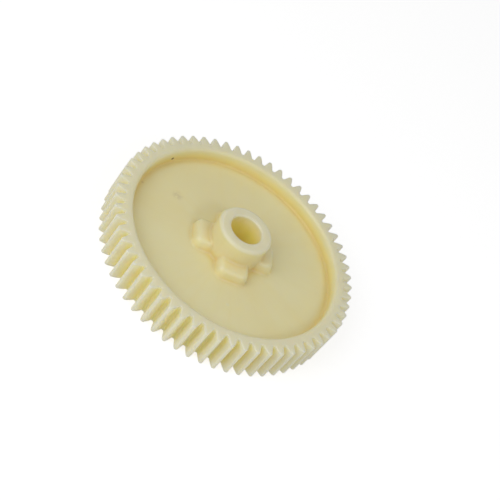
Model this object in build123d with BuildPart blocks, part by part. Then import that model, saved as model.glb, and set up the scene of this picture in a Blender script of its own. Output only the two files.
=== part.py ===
from build123d import *
from math import acos, cos, hypot, pi, radians, sin, tan
import os

# A moulded plastic spur gear: 61 teeth of module 1, a web set back between rim and boss, and four
# drive lugs around the boss. The whole gear is one injection moulding, so it is one solid.
# It lies flat with its back face on XY. +Z runs along the bore, towards the boss and the lugs, and
# +X runs through the middle of one lug and of one tooth.
# Lengths are in millimetres and angles in degrees.

# Gear teeth: an involute shifted outwards a little, which makes the teeth thicker at the root
module = 1.0
teeth = 61
pressure_angle = 20.0
profile_shift = 0.15 * module
addendum = 1.05 * module + profile_shift
dedendum = 1.40 * module - profile_shift
backlash = 0.03
tip_round = 0.42
root_round = 0.40
flank_points = 7
face_width = 9.6
tooth_end_round = 0.20

# Rim and web
rim_under_roots = 2.15
recess_depth = 3.7
rim_edge_round = 0.8
recess_foot_round = 0.6

# Boss and bore
boss_radius = 6.9
boss_proud = 4.1
boss_edge_round = 0.9
bore_radius = 4.05
bore_chamfer = 0.3

# Drive lugs, evenly spaced around the boss
lug_count = 4
lug_reach = 10.6
lug_width = 8.4
lug_height = 2.7
lug_draft = 12.0
lug_corner_round = 2.0
lug_edge_round = 1.2
hub_foot_round = 0.6

# How near an edge lies to a radius or a height to count as being there
tolerance = 0.01

# Worked out from the dimensions above
pitch_radius = module * teeth / 2
base_radius = pitch_radius * cos(radians(pressure_angle))
tip_radius = pitch_radius + addendum
root_radius = pitch_radius - dedendum
tooth_thickness = pi * module / 2 + 2 * profile_shift * tan(radians(pressure_angle)) - backlash
rim_inner_radius = root_radius - rim_under_roots
web_front = face_width - recess_depth
web_back = recess_depth
lug_top = web_front + lug_height
boss_top = face_width + boss_proud


def involute(angle):
    """The involute function of an angle in radians."""
    return tan(angle) - angle


def flank_point(radius, side):
    """A point at a radius on the flank on side 1 or -1 of a tooth that lies along +X."""
    half_angle = tooth_thickness / (2 * pitch_radius)
    half_angle += involute(radians(pressure_angle)) - involute(acos(base_radius / radius))
    return (radius * cos(half_angle), side * radius * sin(half_angle))


def flank(side):
    """The points of one flank, from the root circle to the tip circle."""
    step = (tip_radius - root_radius) / (flank_points - 1)
    return [flank_point(root_radius + i * step, side) for i in range(flank_points)]


def radii(edge):
    """The distances from the bore's axis to the two ends and the middle of an edge."""
    return [hypot((edge @ t).X, (edge @ t).Y) for t in (0, 0.5, 1)]


def heights(edge):
    """The heights of the two ends and the middle of an edge."""
    return [(edge @ t).Z for t in (0, 0.5, 1)]


def at_height(edge, height):
    """True for an edge that lies at one height."""
    return all(abs(z - height) < tolerance for z in heights(edge))


def is_ring(edge, radius, height):
    """True for a full circle of that radius around the bore, at that height."""
    return edge.is_closed and abs(edge.radius - radius) < tolerance and at_height(edge, height)


def on_boss(edge):
    """True for an edge that lies on the boss's side."""
    return all(abs(r - boss_radius) < tolerance for r in radii(edge))


def is_tooth_end(edge):
    """True for an edge of the toothed outline, on the front or the back face."""
    on_face = at_height(edge, 0) or at_height(edge, face_width)
    return on_face and min(radii(edge)) > root_radius - tolerance


def is_lug_top(edge):
    """True for an edge around the top of a lug, away from the boss."""
    return at_height(edge, lug_top) and not on_boss(edge)


def is_hub_foot(edge):
    """True for an edge in the corner between boss and lug, boss and web, or lug and web."""
    low = web_front - tolerance < min(heights(edge)) and max(heights(edge)) < lug_top + tolerance
    inside = max(radii(edge)) < rim_inner_radius / 2
    return low and inside and (on_boss(edge) or at_height(edge, web_front))


with BuildSketch() as tooth:
    with BuildLine():
        right = Spline(*flank(-1))
        left = Spline(*flank(1))
        ThreePointArc(right @ 1, (tip_radius, 0), left @ 1)
        Polyline(left @ 0, (rim_inner_radius, 0), right @ 0)
    make_face()
    fillet(tooth.vertices().sort_by(SortBy.DISTANCE)[-2:], tip_round)

with BuildSketch() as gear_outline:
    Circle(root_radius)
    with PolarLocations(0, teeth):
        add(tooth.sketch)
    fillet(gear_outline.vertices().group_by(SortBy.DISTANCE)[0], root_round)

with BuildPart() as gear_wheel:
    # Toothed blank, with the ends of its teeth eased
    add(gear_outline.sketch)
    extrude(amount=face_width)
    fillet(gear_wheel.edges().filter_by(is_tooth_end), tooth_end_round)

    # The recesses behind and in front, which leave the web between the rim and the boss
    for floor, mouth in ((web_back, 0), (web_front, face_width)):
        with BuildSketch(Plane.XY.offset(mouth)):
            Circle(rim_inner_radius)
        extrude(amount=floor - mouth, mode=Mode.SUBTRACT)
        foot = gear_wheel.edges().filter_by(lambda edge: is_ring(edge, rim_inner_radius, floor))
        fillet(foot, recess_foot_round)
        rim_edge = gear_wheel.edges().filter_by(lambda edge: is_ring(edge, rim_inner_radius, mouth))
        fillet(rim_edge, rim_edge_round)

    # Boss, from the back face to its top
    with BuildSketch(Plane.XY.rotated((0, 0, 45))):
        Circle(boss_radius)
    extrude(amount=boss_top)

    # Drive lugs
    with BuildSketch(Plane.XY.offset(web_front)) as lug_outline:
        with PolarLocations(0, lug_count):
            Rectangle(lug_reach, lug_width, align=(Align.MIN, Align.CENTER))
        fillet(lug_outline.vertices().group_by(SortBy.DISTANCE)[-1], lug_corner_round)
    extrude(amount=lug_height, taper=lug_draft)
    fillet(gear_wheel.edges().filter_by(is_lug_top), lug_edge_round)

    # Where the boss and the lugs run out into the web and into each other
    fillet(gear_wheel.edges().filter_by(is_hub_foot), hub_foot_round)
    back_foot = gear_wheel.edges().filter_by(lambda edge: is_ring(edge, boss_radius, web_back))
    fillet(back_foot, hub_foot_round)

    # The boss's rim, and the bore with its eased mouths
    boss_edge = gear_wheel.edges().filter_by(lambda edge: is_ring(edge, boss_radius, boss_top))
    fillet(boss_edge, boss_edge_round)
    Hole(bore_radius)
    for mouth in (0, boss_top):
        bore_mouth = gear_wheel.edges().filter_by(lambda edge: is_ring(edge, bore_radius, mouth))
        chamfer(bore_mouth, bore_chamfer)

gear_wheel.part.label = "gear_wheel"
os.makedirs("parts", exist_ok=True)
export_step(gear_wheel.part, "parts/gear_wheel.step")
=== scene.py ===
import bpy
from math import cos, radians, sin
from mathutils import Matrix, Vector


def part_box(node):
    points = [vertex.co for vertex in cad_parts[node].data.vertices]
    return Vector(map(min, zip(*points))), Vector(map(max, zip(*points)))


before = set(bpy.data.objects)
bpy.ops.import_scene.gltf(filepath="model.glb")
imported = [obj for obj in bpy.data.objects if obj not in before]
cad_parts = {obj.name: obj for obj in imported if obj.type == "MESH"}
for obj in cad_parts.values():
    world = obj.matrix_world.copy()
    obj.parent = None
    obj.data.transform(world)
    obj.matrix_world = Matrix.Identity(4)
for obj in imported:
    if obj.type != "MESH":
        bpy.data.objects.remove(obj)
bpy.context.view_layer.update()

# A moulded nylon spur gear, lying on a plain white floor in soft light. Everything is in metres, in
# the frame of the CAD part: +Z along the bore, towards the boss, and +X through the middle of a lug.
MM = 0.001
TOOTH_DEPTH = 2.45 * MM
RIM_UNDER_ROOTS = 2.15 * MM

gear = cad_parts["gear_wheel"]
low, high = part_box("gear_wheel")
boss_top = high.z
tip_radius = high.x
root_radius = tip_radius - TOOTH_DEPTH
rim_inner = root_radius - RIM_UNDER_ROOTS
face_width = 9.6 * MM
web_front = 5.9 * MM
bore_radius = 4.05 * MM


# ---------------------------------------------------------------- camera

CAMERA_AZIMUTH = -27.03
CAMERA_ELEVATION = 41.11
CAMERA_ROLL = 40.36
CAMERA_DISTANCE = 285.8 * MM
CAMERA_LENS = 87.24
CAMERA_AIM = Vector((1.81 * MM, 3.13 * MM, face_width))


def camera_axes(azimuth, elevation, roll):
    """The camera's right, up and back directions; the roll turns it about its line of sight."""
    az, el, turn = radians(azimuth), radians(elevation), radians(roll)
    back = Vector((cos(el) * cos(az), cos(el) * sin(az), sin(el)))
    level = Vector((0, 0, 1)).cross(back).normalized()
    right = level * cos(turn) + back.cross(level) * sin(turn)
    return right, back.cross(right), back


right, up, back = camera_axes(CAMERA_AZIMUTH, CAMERA_ELEVATION, CAMERA_ROLL)
camera = bpy.data.objects.new("camera", bpy.data.cameras.new("camera"))
camera.data.lens = CAMERA_LENS
camera.data.clip_start = 10 * MM
pose = Matrix((right, up, back)).transposed().to_4x4()
pose.translation = CAMERA_AIM + back * CAMERA_DISTANCE
camera.matrix_world = pose
bpy.context.collection.objects.link(camera)
bpy.context.scene.camera = camera


# ---------------------------------------------------------------- node helpers


class Nodes:
    """The node tree of a material or a world, with one short call for each kind of node."""

    def __init__(self, owner):
        owner.use_nodes = True
        self.tree = owner.node_tree
        self.shader = self.tree.nodes.get("Principled BSDF") or self.tree.nodes["Background"]

    def add(self, kind, **settings):
        node = self.tree.nodes.new(kind)
        for name, value in settings.items():
            setattr(node, name, value)
        return node

    def put(self, socket, value):
        """Links a socket, or sets it to a plain value."""
        if isinstance(value, bpy.types.NodeSocket):
            self.tree.links.new(value, socket)
        else:
            socket.default_value = value

    def shade(self, **values):
        """Puts values into the shader's sockets; Base_Color stands for Base Color."""
        for name, value in values.items():
            self.put(self.shader.inputs[name.replace("_", " ")], value)

    def math(self, operation, *values):
        node = self.add("ShaderNodeMath", operation=operation)
        for socket, value in zip(node.inputs, values):
            self.put(socket, value)
        return node.outputs[0]

    def product(self, first, *others):
        """Several masks multiplied with each other."""
        for other in others:
            first = self.math("MULTIPLY", first, other)
        return first

    def vector(self, operation, a, b=(0, 0, 0)):
        node = self.add("ShaderNodeVectorMath", operation=operation)
        self.put(node.inputs[0], a)
        self.put(node.inputs[1], b)
        return node.outputs["Value" if operation in ("LENGTH", "DISTANCE") else "Vector"]

    def noise(self, where, scale, detail):
        node = self.add("ShaderNodeTexNoise")
        self.put(node.inputs["Vector"], where)
        node.inputs["Scale"].default_value = scale
        node.inputs["Detail"].default_value = detail
        return node.outputs["Fac"]

    def span(self, value, start, end, first=0.0, last=1.0):
        """Turns start to end of a value into first to last, smoothly and clamped."""
        node = self.add("ShaderNodeMapRange", interpolation_type="SMOOTHSTEP")
        for name, number in zip(("Value", "From Min", "From Max", "To Min", "To Max"),
                                (value, start, end, first, last)):
            self.put(node.inputs[name], number)
        return node.outputs["Result"]

    def fade(self, value, start, end, first=1.0):
        """Falls from first at start to 0 at end."""
        return self.span(value, start, end, first, 0.0)

    def mix(self, factor, a, b):
        """Mixes two colours."""
        node = self.add("ShaderNodeMix", data_type="RGBA")
        self.put(node.inputs[0], factor)
        for socket, value in ((node.inputs[6], a), (node.inputs[7], b)):
            self.put(socket, value if isinstance(value, bpy.types.NodeSocket) else (*value, 1.0))
        return node.outputs[2]

    def place(self):
        """The point on the surface, in metres in the part's frame."""
        return self.add("ShaderNodeTexCoord").outputs["Object"]

    def seen_or_cast(self, seen, cast):
        """A strength that is seen where the camera looks straight at it, and cast as light on the part."""
        is_seen = self.add("ShaderNodeLightPath").outputs["Is Camera Ray"]
        return self.math("MULTIPLY_ADD", is_seen, seen - cast, cast)


# ---------------------------------------------------------------- the moulded nylon

IVORY = (0.893, 0.805, 0.480)
IVORY_PALE = (0.913, 0.835, 0.527)
IVORY_WARM = (0.890, 0.785, 0.420)
# Painted light: a paler ivory for the rim, teeth and boss top where they stand free in the light; also the
# round mark's own colour
IVORY_LIT_AND_MARK = (0.890, 0.840, 0.620)
# Painted bounce light: a gold glow painted on the recess wall
WALL_BOUNCE_LIGHT_GOLD = (0.930, 0.800, 0.340)
# Painted shade: a darker gold painted in the hollows and along the feet of walls
CORNER_SHADE_GOLD = (0.860, 0.700, 0.220)
# Painted light: a bright gold painted into the tooth gaps
GAP_LIGHT_GOLD = (1.000, 0.870, 0.510)
# Painted shade and bounce light: a deeper gold painted down the bore
BORE_SHADE_AND_BOUNCE_GOLD = (1.000, 0.840, 0.280)
SPECK_BROWN = (0.10, 0.055, 0.012)
SCRATCH_BROWN = (0.45, 0.32, 0.12)
SMUDGE_GREY = (0.66, 0.57, 0.34)

# How fine each noise is, in cells per metre, and the flow lines' cells around and along a radius
CLOUD_SCALE = 70
SMUDGE_SCALE = 900
BUMP_SCALE = 1400
GRAIN_SCALE = 2600
FLOW_AROUND = 9
FLOW_ALONG = 45

# Small marks: a burnt speck on the recess's wall, and a smudge, a scratch and a round mark on the web
SPECK_AT = (-20.4 * MM, -17.9 * MM, 7.0 * MM)
SMUDGE_AT = (-10.1 * MM, -15.1 * MM, web_front)
SCRATCH_AT = (-9.8 * MM, -24.4 * MM, web_front)
ROUND_MARK_AT = (17.3 * MM, -0.1 * MM, web_front)

# The nylon's skin, and how far and in which colours light soaks into it
ROUGHNESS = (0.30, 0.40)
BUMP_STRENGTH = 0.25
BUMP_HEIGHT = 0.02 * MM
NYLON_IOR = 1.53
SOAK_DEPTH = 3.2 * MM
SOAK_COLOUR = (1.0, 0.92, 0.65)
CORNER_REACH = 3 * MM


def resin(nodes, place, flat, radius):
    """The resin's own colour: cloudy, with flow lines that run out from the hub."""
    cloud = nodes.noise(place, CLOUD_SCALE, detail=4)
    colour = nodes.mix(nodes.span(cloud, 0.3, 0.7), IVORY, IVORY_PALE)
    outward = nodes.vector("MULTIPLY", nodes.vector("NORMALIZE", flat), (FLOW_AROUND,) * 3)
    along = nodes.add("ShaderNodeCombineXYZ")
    nodes.put(along.inputs["Z"], nodes.math("MULTIPLY", radius, FLOW_ALONG))
    flow = nodes.noise(nodes.vector("ADD", outward, along.outputs[0]), 1.0, detail=5)
    return nodes.mix(nodes.span(flow, 0.45, 0.75, 0.0, 0.3), colour, IVORY_WARM)


def painted_wall_light(nodes, radius, height):
    """Painted bounce light: 1 on the inner wall of the rim, fading out towards its rounded edge, where a
    golden glow is painted.
    """
    near = nodes.span(radius, rim_inner - 0.7 * MM, rim_inner - 0.2 * MM)
    not_past = nodes.fade(radius, rim_inner + 0.1 * MM, rim_inner + 0.3 * MM)
    below_edge = nodes.fade(height, face_width - 2.4 * MM, face_width - 0.8 * MM, first=0.7)
    return nodes.product(near, not_past, below_edge)


def painted_corner_shade(nodes, outer):
    """Painted shade: 1 in the hollows of the web and the hub, where light bounces between close walls and
    a darker gold is painted.
    """
    hollow = nodes.add("ShaderNodeAmbientOcclusion", samples=16, only_local=True)
    hollow.inputs["Distance"].default_value = CORNER_REACH
    closed_in = nodes.fade(hollow.outputs["AO"], 0.35, 0.9, first=0.95)
    return nodes.product(closed_in, nodes.math("SUBTRACT", 1.0, outer))


def painted_gap_light(nodes, radius, height):
    """Painted light: 1 at the roots of the teeth, below the front face, where a bright gold stands in for
    light soaking through the teeth.
    """
    low_on_tooth = nodes.fade(radius, root_radius + 0.4 * MM, root_radius + 1.6 * MM)
    not_rim = nodes.span(radius, root_radius - 0.3 * MM, root_radius - 0.1 * MM)
    below_face = nodes.fade(height, face_width - 1.4 * MM, face_width - 0.2 * MM)
    return nodes.product(low_on_tooth, not_rim, below_face)


def painted_bore_shade_and_bounce(nodes, radius, height):
    """Painted shade and bounce light: 1 down in the bore, fading out towards its mouth, where a deeper
    gold is painted.
    """
    inside = nodes.fade(radius, bore_radius + 0.05 * MM, bore_radius + 0.25 * MM)
    below_mouth = nodes.fade(height, boss_top - 4.5 * MM, boss_top - 0.2 * MM)
    return nodes.product(inside, below_mouth)


def marks(nodes, place, colour):
    """Adds the small marks to the resin's colour."""

    def ball(centre, radius, soft):
        """1 inside a ball around a point of the part, and 0 outside it, with a soft edge."""
        return nodes.fade(nodes.vector("DISTANCE", place, centre), radius - soft, radius + soft)

    blotchy = nodes.span(nodes.noise(place, SMUDGE_SCALE, detail=2), 0.35, 0.6, 0.0, 0.5)
    smudge = nodes.product(ball(SMUDGE_AT, 1.1 * MM, 0.8 * MM), blotchy)
    scratch = nodes.product(ball(SCRATCH_AT, 0.35 * MM, 0.2 * MM), 0.25)
    round_mark = nodes.product(ball(ROUND_MARK_AT, 0.45 * MM, 0.2 * MM), 0.6)
    colour = nodes.mix(smudge, colour, SMUDGE_GREY)
    colour = nodes.mix(ball(SPECK_AT, 0.38 * MM, 0.12 * MM), colour, SPECK_BROWN)
    colour = nodes.mix(scratch, colour, SCRATCH_BROWN)
    return nodes.mix(round_mark, colour, IVORY_LIT_AND_MARK)


def natural_nylon():
    """Natural nylon as it comes out of the mould: ivory, a little translucent and satin. Light and shade
    are painted into its colour: a paler tone where the rim, teeth and boss top stand free in the light, a
    gold where light bounces or soaks in on the recess wall, in the tooth gaps and down the bore, and a
    darker gold as painted shade in the hollows."""
    material = bpy.data.materials.new("ivory_nylon")
    nodes = Nodes(material)
    place = nodes.place()
    split = nodes.add("ShaderNodeSeparateXYZ")
    nodes.put(split.inputs[0], place)
    height = split.outputs["Z"]
    flat = nodes.vector("MULTIPLY", place, (1, 1, 0))
    radius = nodes.vector("LENGTH", flat)

    outer = nodes.span(radius, root_radius - 2.6 * MM, root_radius - 0.8 * MM)
    raised = nodes.span(height, boss_top - 1.2 * MM, boss_top - 0.2 * MM)
    # Painted light: a paler tone where the rim, teeth and boss top stand free in the light
    pale = nodes.product(nodes.math("MAXIMUM", outer, raised), 0.8)

    colour = resin(nodes, place, flat, radius)
    # Painted light and shade: paler free-standing parts, gold bounce light on the recess wall, darker gold
    # shade in the hollows, bright gold light in the tooth gaps, deeper gold shade and bounce light down
    # the bore
    colour = nodes.mix(pale, colour, IVORY_LIT_AND_MARK)
    colour = nodes.mix(painted_wall_light(nodes, radius, height), colour, WALL_BOUNCE_LIGHT_GOLD)
    colour = nodes.mix(painted_corner_shade(nodes, outer), colour, CORNER_SHADE_GOLD)
    colour = nodes.mix(painted_gap_light(nodes, radius, height), colour, GAP_LIGHT_GOLD)
    colour = nodes.mix(painted_bore_shade_and_bounce(nodes, radius, height), colour, BORE_SHADE_AND_BOUNCE_GOLD)
    colour = marks(nodes, place, colour)

    # The satin skin that the mould leaves
    bump = nodes.add("ShaderNodeBump")
    bump.inputs["Strength"].default_value = BUMP_STRENGTH
    bump.inputs["Distance"].default_value = BUMP_HEIGHT
    nodes.put(bump.inputs["Height"], nodes.noise(place, BUMP_SCALE, detail=3))
    grain = nodes.noise(place, GRAIN_SCALE, detail=2)
    nodes.shade(Base_Color=colour, Roughness=nodes.span(grain, 0.3, 0.7, *ROUGHNESS),
                Normal=bump.outputs[0], IOR=NYLON_IOR)
    nodes.shade(Subsurface_Weight=1.0, Subsurface_Radius=SOAK_COLOUR, Subsurface_Scale=SOAK_DEPTH)
    return material


gear.data.materials.clear()
gear.data.materials.append(natural_nylon())


# ---------------------------------------------------------------- floor and light

FLOOR_SIZE = 3
FLOOR_GAP = 0.02 * MM
PAPER = ((0.50, 0.50, 0.50), (0.54, 0.54, 0.54))
FIBRE_SCALE = 700
WHITE = (1, 1, 1, 1)


def white_paper():
    """A sheet that looks white to the camera, and throws only as much light on the part as its
    reflectance and a weak glow give."""
    material = bpy.data.materials.new("white_paper")
    nodes = Nodes(material)
    fibre = nodes.noise(nodes.place(), FIBRE_SCALE, detail=4)
    nodes.shade(Base_Color=nodes.mix(fibre, *PAPER), Roughness=0.9, Specular_IOR_Level=0.0)
    nodes.shade(Emission_Color=WHITE, Emission_Strength=nodes.seen_or_cast(0.70, 0.27))
    return material


def softbox(name, direction, power, size, distance):
    """A round soft light that shines on the hub from a direction."""
    light = bpy.data.lights.new(name, "AREA")
    light.shape = "DISK"
    light.size = size
    light.energy = power
    lamp = bpy.data.objects.new(name, light)
    lamp.location = Vector((0, 0, web_front)) + direction * distance
    lamp.rotation_euler = (-direction).to_track_quat("-Z", "Y").to_euler()
    bpy.context.collection.objects.link(lamp)


bpy.ops.mesh.primitive_plane_add(size=FLOOR_SIZE)
floor = bpy.context.object
floor.name = "floor"
floor.location.z = low.z - FLOOR_GAP
floor.data.materials.append(white_paper())

world = bpy.data.worlds.new("studio")
bpy.context.scene.world = world
sky = Nodes(world)
sky.shade(Color=WHITE, Strength=sky.seen_or_cast(1.0, 0.40))

upper_left = (back * 0.88 - right * 0.33 + up * 0.33).normalized()
right_front = (back * 0.75 + right * 0.62 - up * 0.15).normalized()
softbox("key", upper_left, power=0.52, size=300 * MM, distance=400 * MM)
softbox("right_softbox", right_front, power=0.38, size=110 * MM, distance=600 * MM)
bpy.context.scene.view_settings.view_transform = "Standard"
